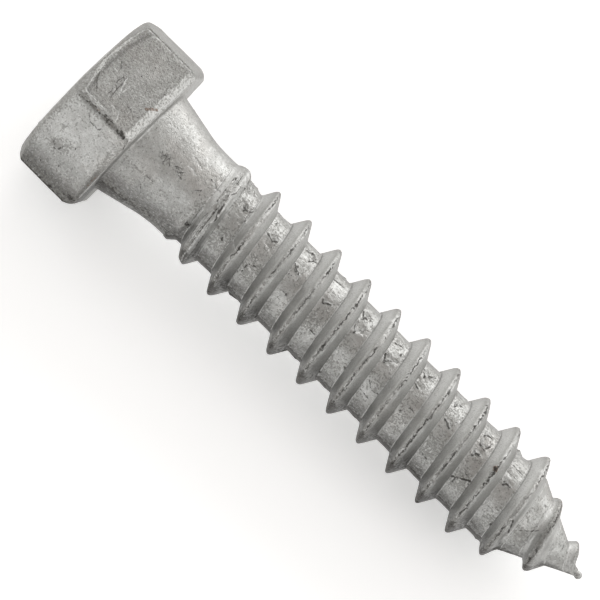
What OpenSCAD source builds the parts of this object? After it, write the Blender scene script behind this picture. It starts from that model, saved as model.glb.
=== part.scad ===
// Hex head lag bolt: one solid of steel, forged at the head, rolled at the thread and
// hot-dip galvanised. It lies along X on a flat surface, head towards -X and point
// towards +X, resting on one flat of the head and on one crest of the thread.
// Half inch body, six threads to the inch, two and a half inches under the head.

/* [Head] */
// Width of the hexagon across its flats
head_flats = 18.5; // [15.4:0.1:26]
// Height of the head, from the bearing face to the top
head_height = 8.05; // [6:0.05:14]
// Amount by which the zinc-rounded corners fall short of a sharp hexagon
corner_loss = 0.15; // [0.05:0.05:0.8]
// Radial distance from the flats in to the edge of the flat top
top_inset = 0.5; // [0.1:0.05:2.4]
// Mean slope of the top chamfer, from the plane of the top
top_slope = 30; // [15:1:45]
// Length over which the flats lean in towards the bearing face
roll_length = 1; // [0.3:0.05:2]
// Depth by which they have leant in at the bearing face
roll_depth = 0.7; // [0.1:0.05:1.4]

/* [Shank] */
// Diameter of the shank where it leaves the head
neck_d = 12.8; // [11:0.1:14.4]
// Diameter of the shank at its waist, in front of the thread
waist_d = 10.3; // [9.8:0.1:11.6]
// Length of the plain shank, from the bearing face to its shoulder
shank_length = 8.6; // [5:0.1:30]
// Radius of the fillet between the bearing face and the shank
neck_fillet = 0.35; // [0.1:0.05:0.6]
// Radius of the hollow curve that leads the taper into the waist
waist_curve = 14; // [6:0.5:20]
// Length of the straight waist, between that curve and the shoulder
waist_length = 1.1; // [0.5:0.1:2.5]
// Length of the sloping shoulder from the waist down to the thread root
shoulder_length = 0.6; // [0.3:0.1:1.2]

/* [Thread] */
// Diameter over the crests of the thread
thread_major_d = 12.5; // [10.6:0.1:15.2]
// Diameter of the core between the ridges
thread_root_d = 9.25; // [7.6:0.05:9.7]
// Distance from one crest to the next along the bolt: six threads to the inch
thread_pitch = 4.2333; // [3.4:0.0001:5.2]
// Slope of each side of the ridge, from a plane square to the bolt
flank_slope = 30; // [20:1:32]
// Width of the blunt crest
crest_w = 0.36; // [0.1:0.02:0.6]
// Distance from the bearing face to a crest on the side that faces the surface
crest_offset = 12.22; // [11:0.01:16]
// Height to which the ridge rises at once, clear of the shoulder
first_ridge = 1.3; // [0.6:0.05:1.6]
// Length over which the ridge grows to its full height
runout_length = 6; // [3:0.1:10]

/* [Point] */
// Length of the bolt under its head, to the very end of the point
bolt_length = 62.5; // [45:0.1:160]
// Length of the tapered point
point_length = 9.4; // [7:0.1:14]
// Diameter of the bead of zinc at the end of the point
bead_d = 0.8; // [0.4:0.05:1.4]
// Height of the ridge at its lowest, early on the point
point_ridge_low = 0.65; // [0.3:0.05:1.3]
// Height of the ridge further on, where it bites first
point_ridge = 1.2; // [0.6:0.05:1.5]

/* [Hidden] */

galvanised = [0.66, 0.66, 0.64];

$fn = 96;
COLUMNS = 36;         // facets round the thread
ARC_STEPS = 8;        // straight steps in each drawn arc
JOINING = 0.12;       // a thread row that comes this near to an end ring joins it
SUNK = 1;             // length of shank that is sunk into the head
BURIED = 1;           // length of thread core that is sunk into the shank
RIM = 0.15;           // step left between the foot of the shoulder and the thread's core
RIDGE_RISE = 0.3;     // share of a turn in which the ridge rises to its first height
BEAD_SINK = 50;       // angle below the bead's middle at which the cone meets it
BEAD_CAP = 75;        // angle above the bead's middle at which it is capped
BEAD_RINGS = 6;       // rings between those two angles

// Where the ridge changes height along the point, in shares of the point's length.
DIP_FROM = -0.15;
DIP_AT = 0.25;
BITE_FROM = 0.5;
BITE_TO = 0.75;

// Head sizes.
flat_r = head_flats / 2;
corner_r = flat_r / cos(30) - corner_loss;
top_r = flat_r - top_inset;
chamfer_h = (corner_r - top_r) * tan(top_slope);
lean = roll_depth / roll_length;

// Shank sizes.
neck_r = neck_d / 2;
waist_r = waist_d / 2;
waist_start = shank_length - waist_length;

// Thread sizes.
major_r = thread_major_d / 2;
root_r = thread_root_d / 2;
ridge_h = major_r - root_r;
base_w = crest_w + 2 * ridge_h * tan(flank_slope);
shoulder_end = shank_length + shoulder_length;
thread_start = shoulder_end + (base_w - crest_w) / 2;
core_start = shoulder_end - BURIED;
point_start = bolt_length - point_length;
bead_r = bead_d / 2;
bead_z = bolt_length - bead_r;
bead_neck_r = bead_r * cos(BEAD_SINK);
winding_end = bead_z - bead_r * sin(BEAD_SINK);

// The bolt touches the surface where one head flat starts to lean in, and at the last full crest.
last_crest = crest_offset + thread_pitch * floor((point_start - crest_offset) / thread_pitch);
contact_z = last_crest + crest_w / 2;
lie_angle = atan((flat_r - major_r) / (contact_z + roll_length));
axis_height = flat_r * cos(lie_angle) - roll_length * sin(lie_angle);
x_low = -head_height * cos(lie_angle) - top_r * sin(lie_angle);
x_high = bead_z * cos(lie_angle) + bead_r;

// Points on an arc about a centre, from one angle to another, as [radius, height] pairs.
function arc(centre, r, from, to) =
    [for (i = [0:ARC_STEPS]) let (a = from + (to - from) * i / ARC_STEPS)
        centre + r * [cos(a), sin(a)]];

// ---- Head: a hexagon that leans in towards its bearing face, with its corners turned off
// by a cylinder and by a ball at the top.

// Distance from the top back to the centre of the ball that cuts the top at top_r and the
// corners at corner_r, chamfer_h below it.
ball_centre = (pow(corner_r, 2) - pow(top_r, 2) + pow(chamfer_h, 2)) / (2 * chamfer_h);

module hexagon(top_flat_r, bearing_flat_r) {
    translate([0, 0, -head_height]) rotate(30)
        cylinder(h = head_height, r1 = top_flat_r / cos(30), r2 = bearing_flat_r / cos(30), $fn = 6);
}

module head() {
    intersection() {
        hexagon(flat_r, flat_r);
        hexagon(flat_r - roll_depth + lean * head_height, flat_r - roll_depth);
        translate([0, 0, -head_height]) cylinder(h = head_height, r = corner_r);
        translate([0, 0, ball_centre - head_height]) sphere(r = norm([top_r, ball_centre]));
    }
}

// ---- Shank: a taper from the neck that curves into a short straight waist.

// Slope of the straight taper, found so that it meets the curve without a corner.
taper_run = waist_start - neck_fillet;
taper_drop = neck_r - waist_r;
taper_chord = norm([taper_run, taper_drop - waist_curve]);
taper_angle = asin(waist_curve / taper_chord) - atan2(waist_curve - taper_drop, taper_run);

module shank_outline() {
    fillet = arc([neck_r + neck_fillet, neck_fillet], neck_fillet, 270, 180 + taper_angle);
    hollow = arc([waist_r + waist_curve, waist_start], waist_curve, 180 + taper_angle, 180);
    polygon(concat(
        [[0, -SUNK], [neck_r + neck_fillet, -SUNK]],
        fillet, hollow,
        [[waist_r, shank_length],
         [root_r + RIM, shoulder_end],
         [0, shoulder_end]]));
}

module shank() {
    rotate_extrude() shank_outline();
}

// ---- Thread and gimlet point: one skin wound along the helix.

// Radius of the core: straight, then tapering to the bead.
function core_radius(z) =
    lookup(z, [[point_start, root_r], [winding_end, bead_neck_r]]);

// Height of the ridge: it grows out of the shank, dips where the point starts, and dies at the bead.
function ridge_height(z) =
    z <= thread_start + runout_length
        ? lookup(z - thread_start, [
            [0, 0],
            [RIDGE_RISE * thread_pitch, first_ridge],
            [runout_length, ridge_h]])
        : lookup((z - point_start) / (winding_end - point_start), [
            [DIP_FROM, ridge_h],
            [DIP_AT, point_ridge_low],
            [BITE_FROM, point_ridge],
            [BITE_TO, point_ridge],
            [1, 0]]);

// Rows across one pitch: where each lies from the crest's middle, and its share of the ridge's height.
ROWS = [
    [-base_w / 2, 0],
    [-crest_w / 2, 1],
    [crest_w / 2, 1],
    [base_w / 2, 0],
    [thread_pitch / 2, 0]];
PER_TURN = len(ROWS);
first_crest = crest_offset - thread_pitch * ceil((crest_offset - core_start) / thread_pitch + 2);
row_count = PER_TURN * ceil((winding_end - first_crest) / thread_pitch + 2);

function row_z(row, column) =
    first_crest + thread_pitch * (floor(row / PER_TURN) + column / COLUMNS) + ROWS[row % PER_TURN][0];

function on_circle(r, z, column) =
    let (a = 360 * column / COLUMNS) [r * cos(a), r * sin(a), z];

// The end rings: the flat start, then the round of the bead.
function bead_ring(k) = let (a = (BEAD_SINK + BEAD_CAP) * k / (BEAD_RINGS - 1) - BEAD_SINK)
    [bead_r * cos(a), bead_z + bead_r * sin(a)];

ring_points = concat(
    [for (c = [0:COLUMNS - 1]) on_circle(root_r, core_start, c)],
    [for (k = [0:BEAD_RINGS - 1]) for (c = [0:COLUMNS - 1])
        on_circle(bead_ring(k)[0], bead_ring(k)[1], c)]);

row_points = [
    for (row = [0:row_count - 1]) for (c = [0:COLUMNS - 1])
        let (z = row_z(row, c), share = ROWS[row % PER_TURN][1])
            on_circle(core_radius(z) + share * ridge_height(z), z, c)];

// Number of a point of the winding. The last column runs on into the row one turn further,
// and what lies past an end ring is that ring's own point.
function point_number(row, column) =
    column == COLUMNS ? point_number(row + PER_TURN, 0) :
    let (z = row_z(row, column))
        z < core_start + JOINING ? column :
        z > winding_end - JOINING ? COLUMNS + column :
        COLUMNS * (BEAD_RINGS + 1) + row * COLUMNS + column;

function whole(face) = face[0] != face[1] && face[1] != face[2] && face[0] != face[2];

function quad(a, b, c, d) = [for (face = [[a, b, c], [a, c, d]]) if (whole(face)) face];

winding_faces = [
    for (row = [0:row_count - 2]) for (c = [0:COLUMNS - 1])
        each quad(point_number(row, c), point_number(row + 1, c),
                  point_number(row + 1, c + 1), point_number(row, c + 1))];

bead_faces = [
    for (k = [1:BEAD_RINGS - 1]) for (c = [0:COLUMNS - 1])
        let (next = (c + 1) % COLUMNS)
            each quad(k * COLUMNS + c, (k + 1) * COLUMNS + c,
                      (k + 1) * COLUMNS + next, k * COLUMNS + next)];

end_faces = [
    [for (c = [0:COLUMNS - 1]) c],
    [for (c = [COLUMNS - 1:-1:0]) BEAD_RINGS * COLUMNS + c]];

module thread() {
    polyhedron(
        points = concat(ring_points, row_points),
        faces = concat(winding_faces, bead_faces, end_faces),
        convexity = 10);
}

// ---- The whole bolt, stood along +Z with its bearing face at height 0, then laid down.

module lag_bolt() {
    color(galvanised)
    translate([-(x_low + x_high) / 2, 0, axis_height])
    rotate([0, 90 + lie_angle, 0])
    union() {
        head();
        shank();
        thread();
    }
}

lag_bolt();
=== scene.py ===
import math

import bpy
import numpy as np
from mathutils import Matrix, Vector


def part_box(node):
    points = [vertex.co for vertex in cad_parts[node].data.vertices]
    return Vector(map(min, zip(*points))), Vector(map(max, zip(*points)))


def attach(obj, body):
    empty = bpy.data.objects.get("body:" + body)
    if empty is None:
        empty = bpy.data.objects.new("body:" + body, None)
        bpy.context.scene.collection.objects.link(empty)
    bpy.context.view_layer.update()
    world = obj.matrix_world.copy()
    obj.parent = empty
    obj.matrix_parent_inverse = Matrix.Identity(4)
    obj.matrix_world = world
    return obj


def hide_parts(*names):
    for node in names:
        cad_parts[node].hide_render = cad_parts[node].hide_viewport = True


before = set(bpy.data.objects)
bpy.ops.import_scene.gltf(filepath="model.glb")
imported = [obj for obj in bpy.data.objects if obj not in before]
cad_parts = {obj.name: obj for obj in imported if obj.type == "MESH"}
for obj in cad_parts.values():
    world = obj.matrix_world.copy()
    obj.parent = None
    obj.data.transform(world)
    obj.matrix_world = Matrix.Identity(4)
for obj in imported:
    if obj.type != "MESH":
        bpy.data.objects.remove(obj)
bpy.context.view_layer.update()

# ---- The lag bolt -------------------------------------------------------------------
# One piece of steel, hot forged at the head, rolled at the thread and the gimlet point,
# then dipped in molten zinc. It lies on one flat of its head and on a crest near its
# point. All sizes here are in millimetres, and the mesh is put into metres at the end.

MM = 0.001

# Head: it leans in over the last millimetre towards its bearing face, in two steps.
HEAD_FLAT_R = 9.25
HEAD_HEIGHT = 8.05
HEAD_TOP_R = 8.8
# The CAD model's flat top is a little smaller. It only tells where the head's end lies.
CAD_TOP_R = 8.75
HEAD_CORNER_ROUND = 0.22
HEAD_CHAMFER_SLOPE = math.radians(30)
HEAD_EDGE_ROUND = 0.22
ROLL_LENGTH = 1.0
ROLL_HALF = 0.4
ROLL_HALF_R = 0.975
ROLL_END_R = 0.925

# Plain shank and its shoulder.
NECK_R = 6.4
NECK_FILLET = 0.35
WAIST_R = 5.15
HOLLOW_R = 14.0
HOLLOW_END = 7.5
SHANK_RINGS_END = 8.2

SHOULDER_AT = 9.45
SHOULDER_SLANT = 0.45
SHOULDER_LONG_SIDE = math.radians(115)
SHOULDER_LENGTH = 0.8
SHOULDER_DEPTH = 1.2
LIP_HEIGHT = 0.17
LIP_WIDTH = 0.3

# Thread and point.
FIRST_CREST_EXTRA = 0.32
PITCH = 4.2333
CREST_AT = 12.22
MAJOR_R = 6.25
ROOT_R = 4.625
CREST_WIDTH = 0.36
FLANK_SLOPE = math.radians(30)
POINT_START = 53.1
POINT_SQUEEZE = 0.34
SQUEEZE_AT = 56
SQUEEZE_WIDTH = 1.4
WINDING_END = 61.85
BEAD_AT = 62.1
BEAD_R = 0.4
BEAD_FROM = -0.62
BEAD_TO = 1.25

COLUMNS_A_FACE = 42
COLUMNS = 6 * COLUMNS_A_FACE
CORNER_CROWDING = 0.93
# Rows across one pitch, by their distance from the middle of the crest.
ROW_OFFSETS = np.array(
    [-1.95, -1.6, -1.3, -1.16, -1.06, -0.85, -0.6, -0.4, -0.26, -0.13]
    + [0, 0.13, 0.26, 0.4, 0.6, 0.85, 1.06, 1.16, 1.3, 1.6]
)
ROWS_A_TURN = len(ROW_OFFSETS)


def noise(points, across, seed):
    """Value noise: random numbers on a cubic lattice whose cell is `across`, blended between
    the eight corners of the cell with the smooth step 3t^2 - 2t^3. Runs from -1 to 1, and
    repeats after `period` cells."""
    period = 32
    far_from_nought = 1000
    lattice = np.random.default_rng(seed).uniform(-1, 1, (period, period, period))
    place = points / across + far_from_nought
    cell = np.floor(place).astype(int)
    t = place - cell
    t = t * t * (3 - 2 * t)
    total = np.zeros(points.shape[:-1])
    for corner in np.ndindex(2, 2, 2):
        weight = np.prod(np.where(corner, t, 1 - t), axis=-1)
        index = (cell + corner) % period
        total += weight * lattice[index[..., 0], index[..., 1], index[..., 2]]
    return total


def soft_clip(x, low_round, high_round):
    """x held between 0 and 1: the corner at 0 is rounded over about `low_round`, and the
    corner at 1 over about `high_round`."""
    above = 0.5 * (x + np.sqrt(x * x + low_round**2))
    below = 1 - above
    return 1 - 0.5 * (below + np.sqrt(below * below + high_round**2))


def soft_max(a, b, blend):
    """The larger of a and b, with the corner between them rounded over about `blend`."""
    return 0.5 * (a + b + np.sqrt((a - b) ** 2 + blend**2))


def hexagon_r(angle):
    """Distance from the axis to the side of the hexagon, whose flats are centred on multiples
    of 60 degrees. Each corner is an arc, and its centre lies on the line out to the corner."""
    off_flat = (angle + math.pi / 6) % (math.pi / 3) - math.pi / 6
    flat = HEAD_FLAT_R / np.cos(off_flat)
    off_corner = math.pi / 6 - np.abs(off_flat)
    centre = (HEAD_FLAT_R - HEAD_CORNER_ROUND) / math.cos(math.pi / 6)
    under_root = np.maximum(HEAD_CORNER_ROUND**2 - (centre * np.sin(off_corner)) ** 2, 0)
    arc = centre * np.cos(off_corner) + np.sqrt(under_root)
    arc_reach = math.pi / 6 - math.atan((1 - HEAD_CORNER_ROUND / HEAD_FLAT_R) * math.tan(math.pi / 6))
    return np.where(off_corner < arc_reach, arc, flat)


def path_rows(corners, rounds, between):
    """Rows along a bent line in the (r, s) plane, one line for each column. A corner is a
    quadratic curve that starts and ends `round` away from it. `between` gives the number of
    rows on each straight stretch, and a corner has its own number of rows."""
    rows = []
    last = corners[0]
    for k in range(1, len(corners)):
        here = corners[k]
        run = here - corners[k - 1]
        direction = run / np.linalg.norm(run, axis=0)
        reach, corner_rows = rounds[k]
        start = here - direction * reach
        steps = between[k - 1]
        rows += [last + (start - last) * i / steps for i in range(steps)]
        if k == len(corners) - 1:
            break
        after = corners[k + 1] - here
        end = here + after / np.linalg.norm(after, axis=0) * reach
        for i in range(corner_rows):
            t = i / corner_rows
            rows.append((1 - t) ** 2 * start + 2 * t * (1 - t) * here + t * t * end)
        last = end
    return np.array(rows)


def shank_r(s):
    """Radius of the plain shank: a straight taper from the neck that runs into a hollow arc,
    and the arc ends on the narrow waist."""
    run = HOLLOW_END - NECK_FILLET
    drop = NECK_R - WAIST_R
    chord = math.hypot(run, drop - HOLLOW_R)
    taper = math.asin(HOLLOW_R / chord) - math.atan2(HOLLOW_R - drop, run)
    arc_start = HOLLOW_END - HOLLOW_R * math.sin(taper)
    into = np.clip(s - HOLLOW_END, -HOLLOW_R * math.sin(taper), 0)
    arc = WAIST_R + HOLLOW_R - np.sqrt(HOLLOW_R**2 - into**2)
    return arc + np.maximum(arc_start - s, 0) * math.tan(taper)


def waist_r(s, angle):
    """Radius of the waist up to its shoulder, which lies a little aslant and has a burred
    lip. Past the shoulder it falls away below the thread's core."""
    past = s - SHOULDER_AT - SHOULDER_SLANT * np.cos(angle - SHOULDER_LONG_SIDE)
    lip = LIP_HEIGHT * np.exp(-(((past + LIP_WIDTH) / LIP_WIDTH) ** 2))
    step = SHOULDER_DEPTH * soft_clip(past / SHOULDER_LENGTH, 0.2, 0.2)
    return WAIST_R + lip - step - 5 * np.maximum(past - 2, 0)


def core_r(s):
    """Radius of the thread's core: straight, then the taper of the point down to the bead."""
    along = np.clip((s - POINT_START) / (WINDING_END - POINT_START), 0, 1)
    return ROOT_R + (BEAD_R * 0.8 - ROOT_R) * along


def ridge_height(s):
    """Height of the thread's ridge: it grows out of the shoulder, is full along the body,
    dips where the point starts, rises to bite, and dies at the bead."""
    along = (s - POINT_START) / (WINDING_END - POINT_START)
    full = MAJOR_R - ROOT_R
    grown = np.interp(s, [8.3, 9.34, 10.4, 11.46, 13.57, 15.7], [0.5, 0.83, 1.05, 1.24, 1.44, full])
    point = np.interp(along, [-0.15, 0.25, 0.5, 0.75, 1], [full, 0.65, 1.2, 1.2, 0])
    return np.minimum(grown, point)


def ridge_share(d, s, height):
    """Share of the ridge's height at distance d along the axis from the crest: a rounded
    crest, then a straight flank on either side that meets the root in a crisp line. The
    first half turn, where the rolls came in, has a broad crest."""
    crest = CREST_WIDTH / 2 + FIRST_CREST_EXTRA * np.clip((12.5 - s) / 2.5, 0, 1)
    flank = np.maximum(height, 0.05) * math.tan(FLANK_SLOPE) + 0.04
    flank = flank * (1 + 1.3 * (d > 0) * np.clip((11.4 - s) / 1.2, 0, 1))
    return soft_clip((crest + flank - np.abs(d)) / flank, 0.03, 0.14)


# The columns crowd towards the corners of the hexagon on the head, and spread out evenly
# along the shank. A column's own angle is where it stands on the thread.
even_angle = np.arange(COLUMNS) * 2 * math.pi / COLUMNS + math.pi / 6
place_in_face = np.arange(COLUMNS) / COLUMNS_A_FACE % 1
crowding = -np.sin(2 * math.pi * place_in_face) / (2 * math.pi) * math.pi / 3
head_angle = even_angle + CORNER_CROWDING * crowding

# Head, from the middle of its top to the neck: the corners of its outline, then how far
# each corner's rounding reaches and its rows, then the rows between corners.
side_r = hexagon_r(head_angle)
side_top = -HEAD_HEIGHT + (side_r - HEAD_TOP_R) * math.tan(HEAD_CHAMFER_SLOPE)
one = np.ones(COLUMNS)
head_corners = [
    np.array([0.25 * one, -HEAD_HEIGHT * one]),
    np.array([HEAD_TOP_R * one, -HEAD_HEIGHT * one]),
    np.array([side_r, side_top]),
    np.array([side_r, -ROLL_LENGTH * one]),
    np.array([side_r * ROLL_HALF_R, -ROLL_HALF * one]),
    np.array([side_r * ROLL_END_R, 0 * one]),
    np.array([(NECK_R + NECK_FILLET) * one, 0 * one]),
]
head_rounds = [(0, 0), (0.12, 3), (HEAD_EDGE_ROUND, 5), (0.28, 3), (0.25, 3), (0.1, 3), (0, 0)]
head_rows = path_rows(head_corners, head_rounds, [14, 4, 36, 1, 1, 5])

# Fillet under the head, and the rings of the plain shank.
fillet_turn = np.linspace(0, math.pi / 2, 6)[:-1, None]
fillet_rows = np.stack(
    [
        (NECK_R + NECK_FILLET * (1 - np.sin(fillet_turn))) * one,
        NECK_FILLET * (1 - np.cos(fillet_turn)) * one,
    ],
    axis=1,
)
shank_s = np.linspace(NECK_FILLET, SHANK_RINGS_END, 42)[:, None]
shank_rows = np.stack([shank_r(shank_s) * one, shank_s * one], axis=1)
ring_rows = np.concatenate([head_rows, fillet_rows, shank_rows])
spread = np.interp(ring_rows[:, 1, 0], [-0.5, 6], [0, 1])[:, None]
ring_angle = head_angle + (even_angle - head_angle) * np.clip(spread, 0, 1)

# Thread and point, wound along the helix. The point's second ridge sits a little early, and
# zinc part fills the first root on the far side. Rounding takes about 6% off a crest, so the
# ridge is drawn that much higher.
FILLING = 0.30
FILLING_AT = 11.1
FILLING_LENGTH = 0.8
FILLING_SIDE = math.radians(140)
CREST_ALLOWANCE = 1.06
RIDGE_BLEND = 0.1
first_turn = math.floor((SHANK_RINGS_END - CREST_AT) / PITCH) - 1
turns = math.ceil((WINDING_END - CREST_AT) / PITCH) - first_turn + 1
turn_number = first_turn + np.repeat(np.arange(turns), ROWS_A_TURN)
wind_d = np.tile(ROW_OFFSETS, turns)[:, None] * one
wind_s = CREST_AT + PITCH * (turn_number[:, None] + even_angle / (2 * math.pi)) + wind_d
wind_s = wind_s - POINT_SQUEEZE * np.exp(-(((wind_s - SQUEEZE_AT) / SQUEEZE_WIDTH) ** 2))
height = ridge_height(wind_s)
share = ridge_share(wind_d, wind_s, height)
filled = FILLING * np.exp(-(((wind_s - FILLING_AT) / FILLING_LENGTH) ** 2))
filled = filled * np.clip(np.cos(even_angle - FILLING_SIDE) + 0.3, 0, 1)
thread_r = core_r(wind_s) + np.maximum(CREST_ALLOWANCE * height * share, filled)
wind_r = soft_max(waist_r(wind_s, even_angle), thread_r, RIDGE_BLEND)

# Bead of zinc at the very end, between two angles from its middle.
bead_turn = np.linspace(BEAD_FROM, BEAD_TO, 6)[:, None] * one
bead_rows = np.stack([BEAD_R * np.cos(bead_turn), BEAD_AT + BEAD_R * np.sin(bead_turn)], axis=1)

# Every point of the skin, ring by ring, with a point at each end of the axis.
r = np.concatenate([ring_rows[:, 0], wind_r, bead_rows[:, 0]])
s = np.concatenate([ring_rows[:, 1], wind_s, bead_rows[:, 1]])
angle = np.concatenate([ring_angle, even_angle + 0 * wind_s, even_angle + 0 * bead_turn])
number = np.arange(r.size).reshape(r.shape)
first_wound = len(ring_rows)
first_bead = first_wound + len(wind_s)
top_point = r.size
end_point = r.size + 1

# Past the last ring of the shank, and past the first ring of the bead, a wound point is
# that ring's own point. The last column runs on into the row one turn further.
NEAR_SHANK = 0.05
NEAR_BEAD = 0.08
wound = number[first_wound:first_bead]
wound = np.where(wind_s < SHANK_RINGS_END + NEAR_SHANK, number[first_wound - 1], wound)
wound = np.where(wind_s > WINDING_END - NEAR_BEAD, number[first_bead], wound)
next_wound = np.concatenate([wound[:-ROWS_A_TURN, 1:], wound[ROWS_A_TURN:, :1]], axis=1)
rings = number[:first_wound]
bead = number[first_bead:]


def strips(here, there):
    """Two triangles between each pair of neighbouring points in two grids of numbers that
    lie one column apart."""
    a, b = here[:-1], here[1:]
    c, d = there[1:], there[:-1]
    return np.concatenate(
        [np.stack([a, b, c], -1).reshape(-1, 3), np.stack([a, c, d], -1).reshape(-1, 3)]
    )


triangles = np.concatenate(
    [
        np.stack([rings[0], np.roll(rings[0], -1), np.full(COLUMNS, top_point)], -1),
        strips(rings, np.roll(rings, -1, axis=1)),
        strips(wound[:-ROWS_A_TURN], next_wound),
        strips(bead, np.roll(bead, -1, axis=1)),
        np.stack([np.roll(bead[-1], -1), bead[-1], np.full(COLUMNS, end_point)], -1),
    ]
)
triangles = triangles[
    (triangles[:, 0] != triangles[:, 1])
    & (triangles[:, 1] != triangles[:, 2])
    & (triangles[:, 0] != triangles[:, 2])
]

bolt_points = np.stack([r * np.cos(angle), r * np.sin(angle), s], axis=-1).reshape(-1, 3)
bolt_points = np.concatenate([bolt_points, [[0, 0, -HEAD_HEIGHT], [0, 0, BEAD_AT + BEAD_R]]])
used, triangles = np.unique(triangles, return_inverse=True)
triangles = triangles.reshape(-1, 3)
bolt_points = bolt_points[used]

skin_s = bolt_points[:, 2].copy()
skin_angle = np.degrees(np.arctan2(bolt_points[:, 1], bolt_points[:, 0])) % 360
skin_r = np.hypot(bolt_points[:, 0], bolt_points[:, 1])


def skin_normals(points):
    """Each point's normal: the sum of its triangles' cross products, made one unit long."""
    a, b, c = (points[triangles[:, k]] for k in range(3))
    facing = np.cross(b - a, c - a)
    total = np.zeros_like(points)
    for k in range(3):
        for axis in range(3):
            total[:, axis] += np.bincount(triangles[:, k], facing[:, axis], len(points))
    return total / np.linalg.norm(total, axis=1, keepdims=True)


normals = skin_normals(bolt_points)

# Where each point stands on the thread: its distance from the crest, on which side of it,
# and the height of the ridge there. Points off the thread are far from any crest.
OFF_THREAD = 9.0
crest_d = np.full(r.shape, OFF_THREAD)
crest_d[first_wound:first_bead] = wind_d
ridge_h = np.zeros(r.shape)
ridge_h[first_wound:first_bead] = height
ridge_part = np.zeros(r.shape)
ridge_part[first_wound:first_bead] = share
crest_d, ridge_h, ridge_part = (
    np.append(grid.reshape(-1), [0, 0])[used] for grid in (crest_d, ridge_h, ridge_part)
)
on_thread = skin_s > SHANK_RINGS_END + 0.3
grown_ridge = np.where(on_thread, np.clip((ridge_h - 0.3) / 0.6, 0, 1), 0)
on_crest = np.exp(-((crest_d / 0.3) ** 2)) * grown_ridge
cracked = grown_ridge * np.clip((skin_s - 11.6) / 0.8, 0, 1)
cracked = cracked * np.clip(0.9 + 1.4 * noise(bolt_points, 1.6, 61), 0, 1)
on_flank = np.where(on_thread & (ridge_part > 0.04) & (ridge_part < 0.9), 1.0, 0.0)
in_root = np.where(on_thread, 1 - np.clip(ridge_part * 4, 0, 1), 0)
# Painted light by angle round the bolt: from the far side to the top the flanks are painted paler and
# made less metallic, and elsewhere the crests are painted darker.
painted_lit_side = np.interp(skin_angle, [0, 30, 180, 204, 360], [0.1, 1, 1, 0.1, 0.1])

# What the skin stores for its material: soft stains, some of them painted light and shade, and thin
# lines. A line is kept as the distance to its nearest point, and as the distance to one side of it.
FAR_OFF = 2.0
LINE_KINDS = ("groove", "gash", "ridge", "rust")
LINE_WIDTH = 0.14
relief = np.zeros(len(bolt_points))
stain = {kind: np.zeros(len(bolt_points)) for kind in ("dark", "bright", "rust", "wear_and_shade", "grime_and_shade")}
line_near = {kind: np.full(len(bolt_points), FAR_OFF) for kind in LINE_KINDS}
line_side = {kind: np.full(len(bolt_points), FAR_OFF) for kind in LINE_KINDS}


def soil(kind, amount):
    """Stain the skin by at least this amount, point by point."""
    stain[kind][:] = np.maximum(stain[kind], amount)


def bell(x, middle, width):
    """A soft hump, 1 at the middle, that falls off as exp(-((x - middle) / width)^2)."""
    return np.exp(-(((x - middle) / width) ** 2))


def skin_index(s, degrees):
    """Number of the skin point nearest to a place s along the axis and an angle round it."""
    off = (skin_angle - degrees + 180) % 360 - 180
    away = (skin_s - s) ** 2 + (np.radians(off) * np.maximum(skin_r, 0.5)) ** 2
    return np.argmin(away)


def from_line(start, end):
    """Vectors to the skin points from the nearest point of a straight line."""
    along = end - start
    length2 = max(along @ along, 1e-9)
    t = np.clip((bolt_points - start) @ along / length2, 0, 1)[:, None]
    return bolt_points - start - t * along


def add_mark(away, width, rise, kind, amount):
    """A bump or a dent with the outline exp(-(away / width)^2), and its stain."""
    strength = np.exp(-((away / width) ** 2))
    relief[:] += rise * strength
    if kind:
        soil(kind, amount * strength)


def add_line(kind, places, rise):
    """A thin bent line through places on the skin, each (s, degrees), that stands up or
    cuts in by `rise`."""
    numbers = [skin_index(s, degrees) for s, degrees in places]
    for first, second in zip(numbers[:-1], numbers[1:]):
        start, end = bolt_points[first], bolt_points[second]
        vector = from_line(start, end)
        away = np.linalg.norm(vector, axis=1)
        across = np.cross(normals[first] + normals[second], end - start)
        across /= np.linalg.norm(across)
        nearer = away < line_near[kind]
        line_near[kind][nearer] = away[nearer]
        line_side[kind][nearer] = (vector @ across)[nearer]
        relief[:] += rise * np.exp(-((away / LINE_WIDTH) ** 2))


# Zinc skin: broad waves and soft lumps, which are flatter on the flanks and the plain shank.
smooth = 1 - 0.8 * on_flank
smooth *= np.interp(skin_s, [-0.1, 0.3, 8, 9], [1, 0.45, 0.45, 1])
relief += 0.022 * noise(bolt_points, 3.1, 11)
relief += 0.012 * noise(bolt_points, 1.15, 12) * smooth
relief += 0.010 * noise(bolt_points, 0.52, 13) * smooth

# Crests are ragged. Roots hold crusty patches, more of them in the first turns.
ragged = noise(bolt_points, 0.75, 21) + 0.7 * noise(bolt_points, 0.33, 22)
relief += 0.05 * ragged * on_crest
crust = 1.6 * noise(bolt_points, 1.3, 31) + 0.5 * noise(bolt_points, 0.5, 32) - 0.15
crust = np.clip(crust, 0, 1) * in_root
crust *= np.interp(skin_s, [9, 12, 24, 60], [1.3, 1.3, 0.9, 0.7])
crust *= np.interp(skin_angle, [190, 205], [1, 0.6])
first_ridge = bell(skin_s, 10.8, 1.1)
first_ridge = first_ridge * np.interp(skin_angle, [110, 125, 185, 200], [0, 1, 1, 0])
relief += 0.13 * first_ridge * noise(bolt_points, 0.5, 36)
soil("wear_and_shade", 1.1 * first_ridge)
relief += 0.16 * crust * noise(bolt_points, 0.42, 33) + 0.04 * crust
soil("wear_and_shade", 0.5 * crust)
pitted = np.clip(0.5 + 1.5 * noise(bolt_points, 0.9, 34), 0, 1) * in_root
pitted = pitted * np.interp(skin_angle, [198, 212, 235, 245], [0.6, 1.2, 1.2, 0.6])
soil("wear_and_shade", pitted)
soil("wear_and_shade", np.where(skin_s > 53, 2.2 * on_crest, 0))

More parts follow.
